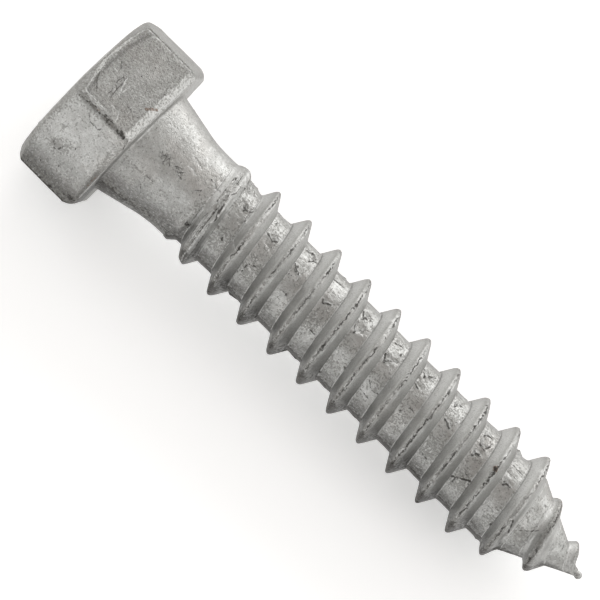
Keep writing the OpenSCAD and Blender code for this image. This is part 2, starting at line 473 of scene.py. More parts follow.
# Lumps of dross, most of them in the roots along the bolt's two sides: s, degrees, size.
CRUSTY = [
    (10.6, 118, 0.5), (11.5, 116, 0.5), (12.3, 117, 0.4), (11.2, 148, 0.8), (12.0, 172, 0.5),
    (15.4, 117, 0.5), (23.8, 117, 0.25), (45.0, 117, 0.6), (49.6, 118, 0.8), (48.8, 117, 0.5),
    (13.8, 291, 0.5), (17.2, 292, 0.4), (17.9, 292, 0.4), (26.4, 292, 0.5), (25.1, 292, 0.3),
    (34.8, 292, 0.3), (51.3, 291, 0.4), (55.0, 288, 0.45), (56.2, 290, 0.3),
    (54.3, 271, 0.4), (55.1, 276, 0.25),
]
crusty = np.zeros(len(bolt_points))
knobbly = 0.10 + 0.30 * noise(bolt_points, 0.42, 35)
for s0, a0, size in CRUSTY:
    off = np.radians((skin_angle - a0 + 180) % 360 - 180) * skin_r
    lumpy = np.exp(-(((skin_s - s0) ** 2 + off**2) / size**2))
    relief += lumpy * knobbly
    soil("wear_and_shade", 1.2 * lumpy)
    crusty = np.maximum(crusty, 0.5 * lumpy)

# The head's side, between its top chamfer and its bearing face.
SIDE_FROM = -7.9
SIDE_TO = -0.1

# Painted shade along the near side, low down, as dark grey and more dark flecks: less on the head,
# none on its top, and darkest on the thread's lowest tips and along the lowest edge of its roots.
head_end = np.interp(skin_s, [-1, 0], [1, 0])
low_side_shade = np.interp(skin_angle, [222, 240, 256, 270, 298, 325], [0, 0.47, 0.88, 1, 1, 0])
low_side_shade = low_side_shade * (1 - head_end)
in_root_low_shade = np.interp(skin_angle, [228, 243, 258, 268, 298, 325], [0, 0.32, 0.9, 1, 1, 0])
low_side_shade = low_side_shade + (in_root_low_shade - low_side_shade) * in_root
low_side_shade += np.interp(skin_angle, [238, 270, 300, 330], [0, 0.70, 0.70, 0]) * head_end
low_side_shade *= np.where(skin_s < SIDE_FROM, np.clip((skin_r - 7.5) / 1.5, 0, 1), 1)
soil("grime_and_shade", low_side_shade * np.clip(0.85 + 0.35 * noise(bolt_points, 1.8, 51), 0, 1))
soil("wear_and_shade", 0.5 * low_side_shade)
lowest_shade = np.interp(skin_angle, [246, 268, 298, 312], [0, 1, 1, 0])
low_tip_shade = np.interp(skin_angle, [256, 274, 300, 312], [0, 1, 1, 0])
low_tip_shade = low_tip_shade * np.clip((skin_r - 4.9) / 1.1, 0, 1) * on_thread
neck_shade = np.interp(skin_s, [-0.1, 0, 3, 7], [0, 0.66, 0.5, 0.4])
soil("dark", lowest_shade * np.where(on_thread, 0.42 + 0.54 * on_crest, neck_shade))
soil("dark", np.maximum(0.8 * low_tip_shade, crusty))
soil("dark", np.where(skin_s > 55, 0.42 * on_crest, 0))
root_edge_shade = np.interp(skin_angle, [262, 276, 298, 312], [0, 1, 1, 0]) * in_root
soil("dark", 0.85 * root_edge_shade)

# Head: every flat is flecked along its edges. The upper flat has a broad rough pale band along its
# bearing end, partly a painted highlight where the rolled-in edge catches the light, with a ragged
# dirty seam beside it; the rest of the flat is a little darker, with painted shade.
on_side = (skin_s > SIDE_FROM) & (skin_s < SIDE_TO)
face_turn = (skin_angle + 30) % 60 - 30
across_face = skin_r * np.sin(np.radians(face_turn))
from_corner = HEAD_FLAT_R * math.tan(math.pi / 6) - np.abs(across_face)
from_chamfer = skin_s + HEAD_HEIGHT - (skin_r - HEAD_TOP_R) * math.tan(HEAD_CHAMFER_SLOPE)
upper = on_side & (skin_angle > 150) & (skin_angle < 210)
nearest_edge = np.minimum(np.minimum(from_corner, from_chamfer), SIDE_TO - skin_s)
by_edge = np.exp(-np.maximum(nearest_edge, 0) / 0.5)
soil("wear_and_shade", np.where(on_side, 1.5 * by_edge, 0))
stain["wear_and_shade"] = np.where(upper, np.minimum(stain["wear_and_shade"], 0.5), stain["wear_and_shade"])
band_edge = skin_s + 1.04 + 0.16 * noise(bolt_points, 1.0, 46) + 0.10 * noise(bolt_points, 0.45, 48)
band = soft_clip(band_edge / 0.15, 0.3, 0.3) * soft_clip((-0.02 - skin_s) / 0.12, 0.3, 0.3)
band *= np.where(upper, np.clip((from_corner - 0.15) / 0.3, 0, 1), 0)
relief += band * (0.04 + 0.07 * noise(bolt_points, 0.45, 41))
# Painted highlight, in part: the band's pale tone.
soil("bright", 0.95 * band)
# Painted shade: the rest of the upper flat is darkened a little.
soil("grime_and_shade", np.where(upper, 0.28 * (1 - band), 0))
near_rim = np.exp(-np.minimum(from_corner, np.minimum(from_chamfer, np.abs(band_edge) + 0.3)) / 0.8)
low_right = np.exp(-(((skin_s + 2.0) / 1.1) ** 2) - ((skin_angle - 202) / 7) ** 2)
flecked = np.maximum(0.3 + 0.9 * near_rim, 1.2 * low_right)
soil("wear_and_shade", np.where(upper, flecked, 0))
seam = np.exp(-(((band_edge + 0.12 + 0.08 * noise(bolt_points, 0.5, 42)) / 0.13) ** 2))
seam = np.where(upper, seam, 0) * np.clip(from_corner / 0.4, 0, 1)
relief -= 0.06 * seam
seam_dirt = seam * np.clip(0.8 + 0.6 * noise(bolt_points, 1.1, 43), 0, 1)
soil("dark", 0.55 * seam_dirt)
soil("wear_and_shade", seam)
inside_edge = np.where(upper, np.exp(-(((from_chamfer - 0.75) / 0.3) ** 2)), 0)
soil("wear_and_shade", 1.1 * inside_edge)
soil("grime_and_shade", 0.7 * inside_edge)

# The corner below the upper flat is scorched and dirty. The lowest corner on the near side and the
# edge beside it are darkened with painted shade.
CORNER_MM_A_DEGREE = 0.184
SCORCHED_AT = 209
LOW_CORNER_AT = 270
wavering = 0.9 * noise(bolt_points, 0.8, 47)
corner_line = np.exp(-(((skin_angle - SCORCHED_AT + wavering) * CORNER_MM_A_DEGREE / 0.36) ** 2))
corner_line *= (skin_s > -7.2) & (skin_s < -0.7)
low_corner_shade = np.exp(-(((skin_angle - LOW_CORNER_AT) * CORNER_MM_A_DEGREE / 0.2) ** 2))
low_corner_shade *= (skin_s > -7.2) & (skin_s < -0.6)
# Painted shade on the lowest corner, and along the edge beside it.
soil("dark", 0.8 * low_corner_shade)
low_edge_shade = on_side * np.interp(skin_angle, [254, 266, 275, 285], [0, 1, 1, 0])
soil("grime_and_shade", low_edge_shade)
soil("wear_and_shade", 1.2 * low_edge_shade)
middle = bell(skin_s, -3.6, 1.7)
blotches = 0.46 + 0.34 * middle + 0.4 * noise(bolt_points, 1.2, 44) + 0.3 * noise(bolt_points, 0.4, 45)
blotches = np.clip(blotches, 0, 1)
relief -= 0.05 * corner_line * blotches
soil("dark", 0.72 * corner_line * blotches)
soil("grime_and_shade", 0.75 * corner_line)
soil("rust", 0.38 * corner_line * bell(skin_s, -4.6, 1.2))
soil("wear_and_shade", 1.3 * corner_line)

# The bearing face is a touch brighter.
bearing_face = (np.abs(skin_s) < 0.1) & (skin_r > NECK_R + 0.2)
soil("bright", 0.16 * bearing_face)

# Thin lines placed one by one, each through its (s, degrees) places. Angles run round the
# bolt from its underside: 90 on the far side, 180 on top.
CHAMFER_EDGE = [
    (-7.1, 151.2), (-7.4, 159), (-7.5, 165), (-7.56, 171), (-7.66, 180), (-7.56, 190), (-7.2, 198),
    (-6.8, 205),
]
# Raised lines are drawn pale: partly a painted highlight along them.
RIDGES = [
    CHAMFER_EDGE,
    [(-7.1, 151.2), (-5.0, 150.9), (-3.2, 151.2), (-0.9, 151)],
    [(-4.7, 183), (-4.5, 188), (-4.2, 192.5)],
    [(-4.1, 192.5), (-4.0, 189), (-4.1, 186)],
    [(-3.8, 201), (-3.4, 201.2), (-3.0, 201.6)],
    [(-2.7, 203.3), (-2.5, 205.5)],
    [(-6.5, 205.6), (-5.4, 205.2)],
    [(-4.9, 205.4), (-4.3, 205.2)],
    [(-0.03, 152), (-0.03, 180), (-0.03, 208), (-0.03, 240), (-0.03, 264)],
    [(5.4, 176), (6.0, 176.5), (6.5, 178)],
    [(5.5, 187), (6.0, 186), (6.2, 188), (6.4, 188.5)],
    [(8.4, 181), (8.9, 183.5), (9.4, 184)],
    [(9.5, 140), (9.6, 150), (9.8, 161), (9.9, 170)],
    [(10.0, 180), (10.0, 195), (9.9, 207)],
    [(10.2, 150), (10.6, 158), (10.8, 170), (11.0, 180)],
    [(10.9, 140), (11.3, 146), (11.7, 143)],
    [(13.8, 213), (14.3, 216.5), (14.9, 216), (15.1, 213)],
    [(20.9, 179), (20.7, 192)],
    [(11.5, 196), (12.1, 196)],
    [(10.3, 205), (10.5, 225), (10.8, 245)],
    [(10.1, 150), (10.3, 165), (10.4, 180)],
    [(10.9, 225), (11.3, 255)],
    [(11.2, 262), (11.4, 280)],
]
GROOVES = [
    [(-7.05, 192), (-6.6, 197), (-6.1, 202)],
    [(-5.2, 183), (-5.25, 188), (-5.1, 193), (-4.9, 198)],
    [(-4.8, 184), (-4.75, 190.5), (-4.6, 195.5), (-4.4, 200)],
    [(-2.0, 194.4), (-1.55, 190.6)],
    [(-2.6, 195), (-2.5, 196.5)],
    [(-4.4, 174.6), (-4.05, 174.8)],
    [(-6.35, 176), (-6.05, 180)],
    [(-4.7, 214.6), (-4.3, 216.2), (-3.8, 216.6), (-3.3, 216.3), (-2.9, 214.4)],
    [(-0.4, 209), (-0.2, 213), (-0.1, 216)],
    [(2.7, 197), (2.9, 200), (3.2, 195)],
    [(3.2, 197), (3.5, 204)],
    [(3.7, 196), (4.0, 201)],
    [(4.6, 197), (4.9, 195)],
    [(4.8, 199), (5.1, 201.5), (5.5, 196)],
    [(5.4, 202), (5.7, 203)],
    [(7.4, 204), (7.7, 201), (8.0, 197), (8.2, 202)],
    [(3.5, 225), (3.8, 226)],
    [(3.4, 238), (3.8, 243)],
    [(10.2, 135), (10.7, 141), (11.0, 150), (10.8, 160)],
    [(11.2, 133), (11.6, 140), (12.2, 138)],
    [(10.5, 165), (10.6, 175), (10.4, 182)],
    [(9.9, 152), (10.0, 165)],
    [(9.4, 160), (9.7, 180), (9.9, 196)],
    [(10.1, 212), (10.4, 235), (10.7, 262)],
    [(10.3, 190), (10.6, 215), (10.8, 230)],
    [(10.9, 240), (11.3, 275)],
    [(11.0, 215), (11.4, 240), (11.5, 250)],
    [(11.5, 256), (11.8, 280)],
    [(16.8, 218), (16.3, 222), (16.4, 230), (16.6, 232)],
    [(19.8, 178), (20.1, 184), (20.3, 177), (20.7, 186), (20.6, 192)],
    [(33.3, 217), (33.9, 224), (34.6, 222)],
    [(33.3, 232), (33.9, 235)],
    [(37.4, 216), (37.8, 205), (38.3, 206)],
    [(46.1, 233), (46.4, 227)],
    [(49.9, 161), (50.7, 161)],
    [(54.4, 218), (55.0, 210), (55.8, 200)],
    [(25.4, 224), (25.9, 225)],
    [(42.1, 235), (42.4, 237)],
]
GASHES = [
    [(10.7, 193), (10.85, 202), (11.1, 210)],
    [(9.1, 236), (9.3, 239), (9.5, 238)],
    [(45.8, 228), (46.6, 222), (47.3, 217)],
    [(53.1, 213), (53.35, 220), (53.6, 229)],
]
# Flakes of zinc curled up in the roots. Each is a raised lip with a gash under it; the lip is painted
# pale as a highlight, and the gash dark as the lip's shadow.
FLAKES = [
    [(12.0, 169), (12.4, 172), (12.9, 168), (13.1, 165)],
    [(19.8, 146), (20.5, 141)],
    [(20.3, 158), (20.9, 152), (21.3, 149)],
    [(23.9, 148), (24.4, 146)],
    [(24.2, 181), (24.6, 186), (25.0, 181)],
    [(28.2, 153), (28.5, 161), (29.0, 155)],
    [(28.4, 175), (28.7, 184), (29.0, 180), (29.3, 174)],
    [(32.5, 152), (33.1, 149)],
    [(32.7, 176), (33.2, 184), (33.7, 175)],
    [(36.6, 149), (36.8, 157), (37.2, 158), (37.6, 145)],
    [(36.8, 175), (37.3, 177)],
    [(41.0, 153), (41.3, 157), (41.7, 149)],
    [(41.6, 181), (41.8, 186), (42.1, 181)],
    [(45.3, 151), (45.6, 155), (45.9, 151)],
    [(45.4, 164), (45.5, 172), (46.2, 172), (46.4, 163)],
    [(45.7, 184), (45.9, 188), (46.3, 183)],
    [(49.8, 185), (50.1, 187), (50.4, 184)],
    [(16.2, 172), (16.5, 176), (16.9, 172)],
]
for places in RIDGES:
    add_line("ridge", places, 0.04)
for places in GROOVES:
    add_line("groove", places, -0.03)
for places in GASHES:
    add_line("gash", places, -0.08)
for places in FLAKES:
    add_line("gash", [(s0, a0 + 3) for s0, a0 in places], -0.05)
    add_line("ridge", places, 0.10)
add_line("rust", [(-1.2, 188.3), (-0.9, 185.7), (-0.55, 182.2)], 0.0)

# Larger marks: from (s, degrees) to (s, degrees), width, rise, stain, amount.
MARKS = [
    # The first two marks are a painted highlight along the edge of the top chamfer.
    (-7.4, 160, -7.6, 176, 0.17, 0.02, "bright", 0.8),
    (-7.65, 182, -7.2, 198, 0.17, 0.02, "bright", 0.8),
    (-7.0, 209, -6.7, 210, 0.14, -0.04, "dark", 0.5),
    (-5.8, 209.5, -4.9, 208.5, 0.10, -0.05, "dark", 0.62),
    (-4.5, 209.5, -3.6, 209, 0.12, -0.05, "dark", 0.65),
    (-5.7, 243.6, -5.4, 248, 0.35, -0.03, "dark", 0.43),
    (-4.6, 243.6, -4.2, 240, 0.3, -0.03, "dark", 0.43),
    (-5.2, 248, -4.5, 246.6, 0.35, -0.03, "dark", 0.45),
    (-5.5, 246, -4.4, 244, 0.8, 0.0, "wear_and_shade", 1.6),
    (-6.2, 231, -5.9, 233, 0.3, 0.05, "wear_and_shade", 1.6),
    (-1.65, 213, -1.6, 216, 0.75, 0.05, "bright", 0.3),
    (-2.5, 224, -2.5, 234.5, 0.2, 0.03, "bright", 0.35),
    (-0.7, 222, -0.4, 238, 0.4, 0.0, "wear_and_shade", 1.5),
    # The next marks, low on the near side under the head and along the neck, are partly rust and wear
    # and partly painted shade.
    (-0.3, 240, -0.25, 268, 0.3, -0.02, "grime_and_shade", 1.0),
    (-0.3, 240, -0.25, 268, 0.4, 0.0, "wear_and_shade", 1.5),
    (-0.2, 243, -0.2, 252, 0.2, 0.0, "rust", 0.5),
    (-1.0, 265, -0.4, 267, 0.4, -0.03, "dark", 0.6),
    (0.6, 264, 3.0, 272, 0.6, -0.03, "dark", 0.7),
    (0.6, 262, 5.2, 270, 0.8, 0.0, "rust", 0.3),
    (0.8, 262, 6.9, 274, 0.8, -0.02, "wear_and_shade", 1.5),
    (3.0, 199, 3.6, 199, 0.6, -0.02, "wear_and_shade", 1.3),
    (4.8, 198, 5.5, 200, 0.5, -0.02, "wear_and_shade", 1.2),
    (0.4, 226, 4.0, 226, 0.3, -0.01, "wear_and_shade", 1.1),
    (8.7, 234, 9.6, 239, 0.3, -0.05, "wear_and_shade", 1.3),
    (10.8, 195, 11.1, 207, 0.14, -0.15, None, 0),
    (28.2, 157, 29.0, 155, 0.4, 0.06, "wear_and_shade", 1.0),
    (36.6, 154, 37.6, 150, 0.4, 0.06, "wear_and_shade", 1.0),
    (45.8, 167, 46.0, 168, 0.35, 0.08, "bright", 0.5),
    (28.6, 178, 29.0, 178, 0.3, 0.10, "bright", 0.5),
    (33.1, 178, 33.3, 178, 0.3, 0.10, "bright", 0.5),
    (24.6, 181, 24.7, 181, 0.25, 0.10, "bright", 0.5),
    (48.2, 188, 48.3, 190, 0.3, 0.0, "rust", 0.9),
    (48.2, 188, 48.3, 190, 0.2, -0.08, "dark", 1.0),
    (30.7, 150, 30.9, 153, 0.25, 0.05, "bright", 1.0),
    (51.8, 150, 51.9, 153, 0.25, 0.05, "bright", 1.0),
    (37.9, 250, 39.0, 250, 0.4, 0.03, "bright", 0.4),
    (42.5, 258, 42.6, 258, 0.3, 0.03, "bright", 0.4),
    (46.8, 254, 46.9, 254, 0.3, 0.03, "bright", 0.4),
    (54.2, 161, 55.3, 166, 0.7, 0.05, "bright", 1.0),
    (53.1, 213, 53.6, 228, 0.17, -0.12, "dark", 0.9),
    (54.0, 240, 54.2, 275, 0.2, 0.2, None, 0),
]
for s0, a0, s1, a1, width, rise, kind, amount in MARKS:
    start, end = bolt_points[skin_index(s0, a0)], bolt_points[skin_index(s1, a1)]
    add_mark(np.linalg.norm(from_line(start, end), axis=1), width, rise, kind, amount)

# Craters, with a raised rim: s, degrees, radius.
CRATERS = [
    (15.8, 153, 0.3), (41.2, 157, 0.25), (58.6, 172, 0.3), (9.4, 243, 0.22), (20.2, 144, 0.22),
    (20.9, 147, 0.2),
]
for s0, a0, radius in CRATERS:
    away = np.linalg.norm(bolt_points - bolt_points[skin_index(s0, a0)], axis=1)
    add_mark(away, radius * 0.7, -0.13, "dark", 0.6)
    add_mark(np.abs(away - radius), radius * 0.35, 0.07, "bright", 0.5)

# Pimples and pin holes scattered over the skin, the same each time. The skin's points crowd
# in the middle of the top, where one hole would look like a centre mark, so none is made there.
TOP_MIDDLE_R = 1.5
scatter = np.random.default_rng(5)
for low, high, count, biggest in ((-8.1, 0, 70, 0.22), (0, 9, 40, 0.2), (9.6, 56, 300, 0.26)):
    places = np.flatnonzero((skin_s > low) & (skin_s < high) & (on_flank < 0.5))
    for index in scatter.choice(places, count):
        away = np.linalg.norm(bolt_points - bolt_points[index], axis=1)
        away += FAR_OFF * (skin_r[index] < TOP_MIDDLE_R)
        width = scatter.uniform(0.12, biggest)
        if scatter.random() < 0.5:
            add_mark(away, width, scatter.uniform(0.03, 0.08), "bright", 0.4)
        else:
            add_mark(away, width, -scatter.uniform(0.03, 0.10), "dark", scatter.uniform(0.4, 0.8))

bolt_points = bolt_points + normals * relief[:, None]

# The head was forged a little to the near side of the shank, so the skin is shifted by one
# amount at the head and by another from the end of the shank on.
HEAD_ASIDE = -0.16
SHANK_ASIDE = 0.07
bolt_points[:, 1] += np.interp(skin_s, [1, 10], [HEAD_ASIDE, SHANK_ASIDE])

# Lie it down: the axis dips so far that the head's flat, where it starts to roll in, and
# the last full crest both touch.
last_crest = CREST_AT + PITCH * math.floor((POINT_START - CREST_AT) / PITCH)
dip = math.atan((HEAD_FLAT_R - MAJOR_R) / (last_crest + CREST_WIDTH / 2 + ROLL_LENGTH))
axis_height = HEAD_FLAT_R * math.cos(dip) - ROLL_LENGTH * math.sin(dip)
cad_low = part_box("lag_bolt")[0]
head_reach = HEAD_HEIGHT * math.cos(dip) + CAD_TOP_R * math.sin(dip)
down = np.array([-math.sin(dip), 0, -math.cos(dip)])
side = np.array([0.0, 1.0, 0.0])
ahead = np.array([math.cos(dip), 0, -math.sin(dip)])
bearing_at = np.array([cad_low.x / MM + head_reach, 0, axis_height])
to_bench = np.array([down, side, ahead])
laid = (bolt_points @ to_bench + bearing_at) * MM
laid[:, 2] = np.maximum(laid[:, 2], 0)

mesh = bpy.data.meshes.new("lag_bolt_skin")
mesh.from_pydata(laid.tolist(), [], triangles.tolist())
mesh.update()
stored_values = {
    **stain,
    **{kind + "_near": away for kind, away in line_near.items()},
    **{kind + "_side": away for kind, away in line_side.items()},
    "from_crest": np.abs(crest_d),
    "tip_side": np.sin(2 * math.pi * crest_d / PITCH),
    "grown_ridge": grown_ridge,
    "cracked": cracked,
    "painted_lit_side": painted_lit_side,
    "smooth": smooth,
}
for name, value in stored_values.items():
    attribute = mesh.attributes.new(name, "FLOAT", "POINT")
    attribute.data.foreach_set("value", np.clip(value, -FAR_OFF, FAR_OFF).astype(np.float32))
mesh.polygons.foreach_set("use_smooth", np.ones(len(mesh.polygons), dtype=bool))
lag_bolt_skin = bpy.data.objects.new("lag_bolt_skin", mesh)
bpy.context.scene.collection.objects.link(lag_bolt_skin)

# Colours of the zinc and of what lies on it, some of them also used for painted light and shade.
ZINC = (0.60, 0.605, 0.592, 1)
ZINC_PALE = (0.78, 0.785, 0.773, 1)
ZINC_DULL = (0.46, 0.459, 0.446, 1)
DARK_FLECK_AND_SHADE = (0.22, 0.215, 0.20, 1)
CREVICE_AND_SHADE = (0.05, 0.047, 0.042, 1)
GRIME_AND_SHADE = (0.08, 0.078, 0.074, 1)
WARM_STAIN = (0.58, 0.52, 0.48, 1)
RUST = (0.20, 0.125, 0.085, 1)
RIM_SHADE_COLOUR = (0.17, 0.165, 0.155, 1)

# Across the ridge, in distances from the crest: where the crest ends, where the flank begins and ends,
# and where the painted highlight line at its foot runs.
CREST_END = (0.12, 0.24)
FLANK_FROM = (0.3, 0.42)
FLANK_TO = (1.02, 1.12)
FOOT_AT = 1.15
FOOT_HIGHLIGHT = (0.03, 0.10)
# The crack along the crest: its half width, how far it wanders, and how it breaks off.
CRACK_LINE = (0.04, 0.11)
CRACK_WANDER = 0.8
CRACK_LIMIT = (0.45, 0.55)
# Half widths of the thin lines.
GROOVE_LINE = 0.03
GASH_LINE = 0.07
RIDGE_LINE = 0.05
RUST_LINE = 0.12
METAL = 0.75
POWDERED_METAL = 0.25


def galvanised():
    """Satin zinc with a crisp fine grain. Noise mottles it and peppers it with flecks, the soft stains
    stored on the skin get ragged edges, and the stored distances draw its thin lines. Seen at a glance
    along the skin, the colour turns darker: painted shade towards the outline."""
    m = bpy.data.materials.new("galvanised_zinc")
    m.use_nodes = True
    nodes = m.node_tree.nodes
    link = m.node_tree.links.new
    zinc = nodes["Principled BSDF"]
    where = nodes.new("ShaderNodeTexCoord").outputs["Object"]

    def calculate(operation, a, b, c=None):
        """Result of a Math node; each input is a node's output or a plain number."""
        n = nodes.new("ShaderNodeMath")
        n.operation = operation
        for socket, value in zip(n.inputs, (a, b, c)):
            if isinstance(value, (int, float)):
                socket.default_value = value
            elif value is not None:
                link(value, socket)
        return n.outputs[0]

    def times(*values):
        """Values multiplied together."""
        total = values[0]
        for value in values[1:]:
            total = calculate("MULTIPLY", total, value)
        return total

    def ramp(value, low, high, out_low=0.0, out_high=1.0):
        """A value's range low..high stretched to out_low..out_high, and held there."""
        n = nodes.new("ShaderNodeMapRange")
        link(value, n.inputs["Value"])
        names = ("From Min", "From Max", "To Min", "To Max")
        for socket, number in zip(names, (low, high, out_low, out_high)):
            n.inputs[socket].default_value = number
        return n.outputs["Result"]

    def grain(cells_a_metre, detail):
        """Noise between 0 and 1."""
        n = nodes.new("ShaderNodeTexNoise")
        n.inputs["Scale"].default_value = cells_a_metre
        n.inputs["Detail"].default_value = detail
        n.inputs["Roughness"].default_value = 0.6
        link(where, n.inputs["Vector"])
        return n.outputs["Fac"]

    def stored(name):
        """A value stored on the skin."""
        n = nodes.new("ShaderNodeAttribute")
        n.attribute_name = name
        return n.outputs["Fac"]

    def over(under, amount, colour):
        """One colour laid over another by an amount."""
        n = nodes.new("ShaderNodeMix")
        n.data_type = "RGBA"
        link(amount, n.inputs["Factor"])
        for socket, value in ((n.inputs["A"], under), (n.inputs["B"], colour)):
            if isinstance(value, tuple):
                socket.default_value = value
            else:
                link(value, socket)
        return n.outputs["Result"]

    fine = grain(6500, 2)
    crisp = grain(3300, 3)
    lumps = grain(1500, 2)
    broad = grain(420, 3)

    def ragged_stain(name, low, high):
        """A stored stain whose edge is broken up by the crisp noise."""
        broken = calculate("MULTIPLY_ADD", crisp, 1.1, -0.55)
        shown = calculate("ADD", stored(name), broken)
        return times(ramp(shown, low, high), ramp(stored(name), 0.05, 0.3))

    def thin_line(kind, half_width):
        """A stored line, as wide as it is told, that wavers and thins out with the noise."""
        wavering = calculate("MULTIPLY_ADD", crisp, 0.22, -0.11)
        aside = calculate("ABSOLUTE", calculate("ADD", stored(kind + "_side"), wavering), 0)
        body = ramp(aside, half_width, half_width + 0.05, 1, 0)
        return times(body, ramp(stored(kind + "_near"), LINE_WIDTH, 0.26, 1, 0))

    # Across the ridge: the crack along the crest, the painted highlight line at the foot, the smooth
    # flank, and the crest.
    from_crest = stored("from_crest")
    grown = stored("grown_ridge")
    wander = calculate("MULTIPLY_ADD", grain(1500, 4), CRACK_WANDER, -CRACK_WANDER / 2)
    before_crest = ramp(stored("tip_side"), -0.3, -0.1, 1, 0)
    aside = calculate("MULTIPLY_ADD", stored("tip_side"), 0.674, -0.04)
    off_crack = calculate("ABSOLUTE", calculate("ADD", aside, wander), 0)
    crack = times(ramp(off_crack, *CRACK_LINE, 1, 0), ramp(from_crest, *CRACK_LIMIT, 1, 0))
    crack = times(crack, stored("cracked"), ramp(grain(2600, 2), 0.40, 0.50, 0.1, 1))
    off_foot = calculate("ABSOLUTE", calculate("SUBTRACT", from_crest, FOOT_AT), 0)
    painted_foot_highlight = times(ramp(off_foot, *FOOT_HIGHLIGHT, 1, 0), ramp(before_crest, 0, 1, 0.6, 1))
    painted_foot_highlight = times(painted_foot_highlight, grown, ramp(lumps, 0.36, 0.46, 0.3, 1))
    flank = times(ramp(from_crest, *FLANK_FROM), ramp(from_crest, *FLANK_TO, 1, 0), grown)
    crest = times(ramp(from_crest, *CREST_END, 1, 0), grown)
    # Darker towards the head side of each crest.
    darker_head_side = times(ramp(from_crest, 0.35, 0.6, 1, 0), times(before_crest, grown))
    rough_part = ramp(flank, 0, 1, 1, 0.25)

    # Stains, thin lines and flecks.
    dark = ragged_stain("dark", 0.42, 0.58)
    bright = ragged_stain("bright", 0.35, 0.60)
    rust = ragged_stain("rust", 0.35, 0.60)
    rust_line = times(thin_line("rust", RUST_LINE), ramp(crisp, 0.38, 0.52, 0.3, 1))
    rust = calculate("MAXIMUM", rust, rust_line)
    groove = times(thin_line("groove", GROOVE_LINE), ramp(grain(3600, 2), 0.38, 0.54), 0.75)
    gash = times(thin_line("gash", GASH_LINE), ramp(grain(2000, 2), 0.36, 0.46), 0.85)
    groove = calculate("MAXIMUM", groove, gash)
    ridge = times(thin_line("ridge", RIDGE_LINE), ramp(grain(3000, 3), 0.38, 0.54, 0.1, 1))
    flecks = ramp(calculate("MULTIPLY_ADD", stored("wear_and_shade"), 0.12, grain(4600, 3)), 0.59, 0.66)
    flecks = times(flecks, rough_part)
    pale_flecks = times(ramp(fine, 0.60, 0.70), rough_part)
    crest_flakes = times(crest, ramp(crisp, 0.52, 0.57))
    # Flanks a little pale everywhere, and painted lighter from the far side to the top.
    pale_flank_and_lit_side = times(flank, ramp(stored("painted_lit_side"), 0, 1, 0.2, 1))
    grime_and_shade = times(stored("grime_and_shade"), ramp(crisp, 0.35, 0.60, 0.7, 1))
    # Painted shade: the colour darkens where the skin is seen at a glance, less on the pale band and
    # the bearing face, and less where grime and shade are already laid.
    glance = nodes.new("ShaderNodeLayerWeight").outputs["Facing"]
    painted_rim_shade = times(ramp(glance, 0.40, 0.95, 0, 0.8), ramp(stored("bright"), 0, 0.3, 1, 0.2))
    painted_rim_shade = times(painted_rim_shade, ramp(stored("grime_and_shade"), 0.3, 1, 1, 0))

    # Colour, laid on from the bare zinc upwards: what, how strongly, in which colour.
    layers = [
        (ramp(broad, 0.42, 0.62), 1, ZINC_DULL),
        (ramp(lumps, 0.52, 0.70, 0, 0.5), 1, ZINC_PALE),
        (ramp(grain(170, 2), 0.50, 0.68, 0, 0.2), 1, WARM_STAIN),
        (ramp(grain(950, 3), 0.50, 0.66, 0, 0.45), 1, ZINC_DULL),
        (pale_flank_and_lit_side, 1, ZINC_PALE),
        (darker_head_side, 0.7, ZINC_DULL),
        (ramp(fine, 0.50, 0.34, 0, 0.7), 1, ZINC_DULL),
        # Grime, and painted shade low on the near side.
        (grime_and_shade, 1, GRIME_AND_SHADE),
        (pale_flecks, 0.5, ZINC_PALE),
        (bright, 0.8, ZINC_PALE),
        # Painted shade: crests darken away from the lit side.
        (crest, ramp(stored("painted_lit_side"), 0, 1, 0.6, 0), DARK_FLECK_AND_SHADE),
        (crest_flakes, 0.6, ZINC_PALE),
        (painted_foot_highlight, 0.9, ZINC_PALE),
        (flecks, 0.6, DARK_FLECK_AND_SHADE),
        (rust, 0.85, RUST),
        # Dark marks, and painted shade low on the near side.
        (dark, 0.85, CREVICE_AND_SHADE),
        (groove, 1, CREVICE_AND_SHADE),
        # Painted highlight, in part: raised lines and flake lips drawn pale.
        (ridge, 0.8, ZINC_PALE),
        (crack, 0.9, CREVICE_AND_SHADE),
        (painted_rim_shade, 1, RIM_SHADE_COLOUR),
    ]
    colour = ZINC
    for shown, strength, tint in layers:
        colour = over(colour, times(shown, strength), tint)
    link(colour, zinc.inputs["Base Color"])

    # What is powdery or rough is less metallic, and so are the painted highlights and the flanks
    # painted lighter on the lit side.
    matt = calculate("MAXIMUM", painted_foot_highlight, calculate("MAXIMUM", ridge, times(bright, 0.6)))
    matt = calculate("MAXIMUM", matt, times(flank, ramp(stored("painted_lit_side"), 0, 1, 0, 0.9)))
    link(ramp(matt, 0, 1, METAL, POWDERED_METAL), zinc.inputs["Metallic"])
    link(ramp(crisp, 0.35, 0.65, 0.36, 0.50), zinc.inputs["Roughness"])

    # Fine relief: what stands up or cuts in, and by how many millimetres.
    fine_relief = [
        (times(crisp, rough_part), 0.05),
        (times(lumps, stored("smooth")), 0.06),
        (times(crisp, crest), 0.12),
        (calculate("MAXIMUM", ridge, painted_foot_highlight), 0.05),
        (flecks, -0.02),
        (calculate("MAXIMUM", groove, crack), -0.06),
        (calculate("MAXIMUM", dark, rust), -0.03),
    ]
    relief = times(fine, 0.042, rough_part)
    for shape, rise in fine_relief:
        relief = calculate("MULTIPLY_ADD", shape, rise, relief)
    bump = nodes.new("ShaderNodeBump")
    bump.inputs["Strength"].default_value = 1.0
    bump.inputs["Distance"].default_value = MM
    link(relief, bump.inputs["Height"])
    link(bump.outputs["Normal"], zinc.inputs["Normal"])
    return m


